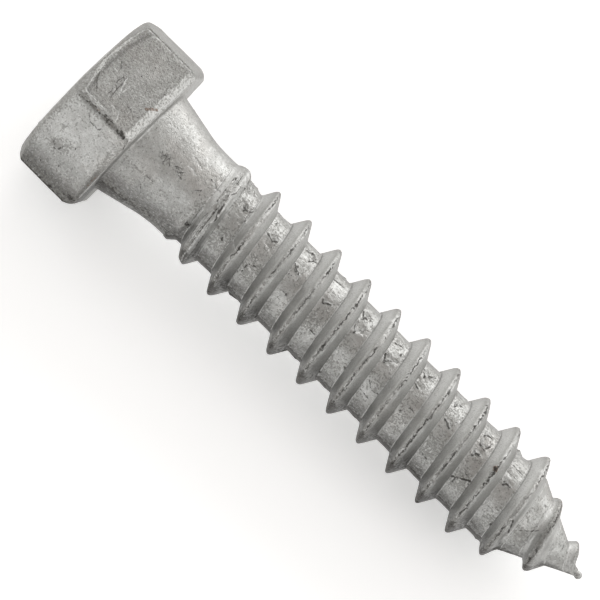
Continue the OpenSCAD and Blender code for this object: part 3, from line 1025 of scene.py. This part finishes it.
mesh.materials.append(galvanised())
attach(lag_bolt_skin, "root")
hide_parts("lag_bolt")

# ---- Floor --------------------------------------------------------------------------
# A white matt tabletop under the bolt, wide enough to fill every view. To the eye, and in
# the bolt's own reflections, it glows a little more than its paint, so that it reads white.

FLOOR_HALF = 1.5
FLOOR_PAINT = (0.93, 0.93, 0.93, 1)
FLOOR_ROUGHNESS = 0.9
FLOOR_GLOW = 0.40
SHADE_GLOW = 0.30
SHADE_REACH = 0.012
SHADE_RANGE = (0.1, 0.7)


def white_tabletop():
    """White matt paint, plus a glow that only the camera, a mirror or a glass sees. It lights
    nothing, and it fades where something stands close above, so that the shadow stays."""
    m = bpy.data.materials.new("white_tabletop")
    m.use_nodes = True
    nodes = m.node_tree.nodes
    paint = nodes["Principled BSDF"]
    paint.inputs["Base Color"].default_value = FLOOR_PAINT
    paint.inputs["Roughness"].default_value = FLOOR_ROUGHNESS
    paint.inputs["Specular IOR Level"].default_value = 0.0
    paint.inputs["Emission Color"].default_value = (1, 1, 1, 1)
    ray = nodes.new("ShaderNodeLightPath")
    seen = ray.outputs["Is Camera Ray"]
    for kind in ("Is Glossy Ray", "Is Transmission Ray"):
        larger = nodes.new("ShaderNodeMath")
        larger.operation = "MAXIMUM"
        m.node_tree.links.new(seen, larger.inputs[0])
        m.node_tree.links.new(ray.outputs[kind], larger.inputs[1])
        seen = larger.outputs[0]
    open_sky = nodes.new("ShaderNodeAmbientOcclusion")
    open_sky.samples = 8
    open_sky.inputs["Distance"].default_value = SHADE_REACH
    fade = nodes.new("ShaderNodeMapRange")
    names = ("From Min", "From Max", "To Min", "To Max")
    for socket, value in zip(names, (*SHADE_RANGE, SHADE_GLOW, FLOOR_GLOW)):
        fade.inputs[socket].default_value = value
    m.node_tree.links.new(open_sky.outputs["AO"], fade.inputs["Value"])
    glow = nodes.new("ShaderNodeMath")
    glow.operation = "MULTIPLY"
    m.node_tree.links.new(seen, glow.inputs[0])
    m.node_tree.links.new(fade.outputs["Result"], glow.inputs[1])
    m.node_tree.links.new(glow.outputs[0], paint.inputs["Emission Strength"])
    return m


floor_corners = [(x * FLOOR_HALF, y * FLOOR_HALF, 0) for x, y in ((-1, -1), (1, -1), (1, 1), (-1, 1))]
floor_mesh = bpy.data.meshes.new("tabletop")
floor_mesh.from_pydata(floor_corners, [], [(0, 1, 2, 3)])
floor_mesh.materials.append(white_tabletop())
tabletop = bpy.data.objects.new("tabletop", floor_mesh)
bpy.context.scene.collection.objects.link(tabletop)

# ---- Lamps and world ----------------------------------------------------------------
# A broad soft lamp on the far side, a smaller one on the near side, one at each end of the
# bolt, and a pale room.


def soft_lamp(name, place, wide, high, glow):
    """An upright area lamp that faces the bolt from `place`; `glow` is its brightness, and
    its power is glow times pi times its area."""
    lamp = bpy.data.lights.new(name, "AREA")
    lamp.shape = "RECTANGLE"
    lamp.size = wide
    lamp.size_y = high
    lamp.energy = glow * math.pi * wide * high
    obj = bpy.data.objects.new(name, lamp)
    obj.location = place
    obj.rotation_euler = (-Vector(place)).to_track_quat("-Z", "Y").to_euler()
    bpy.context.scene.collection.objects.link(obj)


FAR_GLOW = 1.9
NEAR_GLOW = 1.45
END_GLOW = 1.4
ROOM_NEAR = (0.22, 0.216, 0.208, 1)
ROOM_FAR = (0.84, 0.83, 0.805, 1)
CEILING = (0.35, 0.292, 0.270, 1)
CEILING_FROM = 0.86
CEILING_FULL = 0.99
soft_lamp("far_window", (0.0, 1.25, 0.50), 1.6, 0.85, FAR_GLOW)
soft_lamp("near_window", (0.0, -1.15, 0.55), 1.0, 0.6, NEAR_GLOW)
soft_lamp("head_end_window", (-1.2, 0.0, 0.6), 0.8, 0.8, END_GLOW)
soft_lamp("point_end_window", (1.2, 0.0, 0.6), 0.8, 0.8, END_GLOW)


def room():
    """A pale room that is darker on the near side, with a warm dim ceiling: its tone follows
    the direction's Y, and then its Z."""
    world = bpy.data.worlds.new("room")
    world.use_nodes = True
    nodes = world.node_tree.nodes
    link = world.node_tree.links.new
    parts = nodes.new("ShaderNodeSeparateXYZ")
    link(nodes.new("ShaderNodeTexCoord").outputs["Generated"], parts.inputs[0])
    share = nodes.new("ShaderNodeMapRange")
    share.inputs["From Min"].default_value = -1.0
    share.inputs["From Max"].default_value = 1.0
    link(parts.outputs["Y"], share.inputs["Value"])
    tone = nodes.new("ShaderNodeMix")
    tone.data_type = "RGBA"
    link(share.outputs["Result"], tone.inputs["Factor"])
    tone.inputs["A"].default_value = ROOM_NEAR
    tone.inputs["B"].default_value = ROOM_FAR
    overhead = nodes.new("ShaderNodeMapRange")
    overhead.inputs["From Min"].default_value = CEILING_FROM
    overhead.inputs["From Max"].default_value = CEILING_FULL
    link(parts.outputs["Z"], overhead.inputs["Value"])
    with_ceiling = nodes.new("ShaderNodeMix")
    with_ceiling.data_type = "RGBA"
    link(overhead.outputs["Result"], with_ceiling.inputs["Factor"])
    link(tone.outputs["Result"], with_ceiling.inputs["A"])
    with_ceiling.inputs["B"].default_value = CEILING
    link(with_ceiling.outputs["Result"], nodes["Background"].inputs["Color"])
    nodes["Background"].inputs["Strength"].default_value = 1.0
    return world


bpy.context.scene.world = room()
bpy.context.scene.view_settings.view_transform = "Standard"

# ---- Camera -------------------------------------------------------------------------
# Long lens, looking down on the bolt from the near side, rolled so that the bolt runs
# from the upper left to the lower right. Distances are in millimetres, and the target is
# counted along the bolt's axis from the bearing face.

CAMERA_AWAY = 383.0
CAMERA_ANGLE = math.radians(115)
CAMERA_TARGET = 22.67
CAMERA_DROP = 0.066
CAMERA_ROLL = math.radians(44.9)
CAMERA_LENS = 228.0
CAMERA_SENSOR = 36
NEAREST_SHOWN = 0.01

up_from_axis = -down
towards = math.cos(CAMERA_ANGLE) * side + math.sin(CAMERA_ANGLE) * up_from_axis
across = math.sin(CAMERA_ANGLE) * side - math.cos(CAMERA_ANGLE) * up_from_axis
target = bearing_at + CAMERA_TARGET * ahead - CAMERA_DROP * across
right = math.cos(CAMERA_ROLL) * ahead + math.sin(CAMERA_ROLL) * across
upward = -math.sin(CAMERA_ROLL) * ahead + math.cos(CAMERA_ROLL) * across

camera_data = bpy.data.cameras.new("camera")
camera_data.lens = CAMERA_LENS
camera_data.sensor_width = CAMERA_SENSOR
camera_data.clip_start = NEAREST_SHOWN
camera = bpy.data.objects.new("camera", camera_data)
turn_matrix = Matrix([right, upward, towards]).transposed().to_4x4()
camera.matrix_world = Matrix.Translation(Vector((target + towards * CAMERA_AWAY) * MM)) @ turn_matrix
bpy.context.scene.collection.objects.link(camera)
bpy.context.scene.camera = camera
